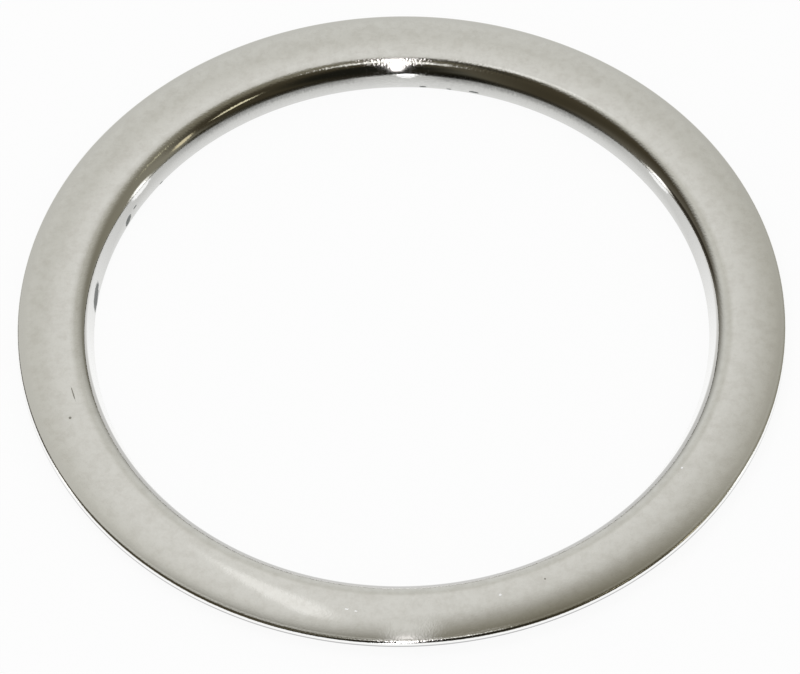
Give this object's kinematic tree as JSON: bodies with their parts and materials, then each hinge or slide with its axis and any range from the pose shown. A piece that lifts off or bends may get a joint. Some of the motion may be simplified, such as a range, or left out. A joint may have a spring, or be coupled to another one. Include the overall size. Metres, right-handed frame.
{
  "type": "pipe escutcheon",
  "caption": "Round plated trim ring with a domed face, a rolled collar at the bore and a turned-down rim, slid over a pipe to cover the gap where it passes through a wall or floor.",
  "frame": {"origin": "on the bore's axis, level with the collar's lower edge, which the ring stands on when it lies face up", "axes": "+Z along the bore, out of the face; +X and +Y across the ring, which is the same all round"},
  "size_m": [0.145, 0.145, 0.005],
  "materials": {
    "plate": "polished nickel-chrome plate on pressed sheet metal, lightly worn"
  },
  "bodies": {
    "root": {"escutcheon_ring": "plate"}
  },
  "joints": []
}
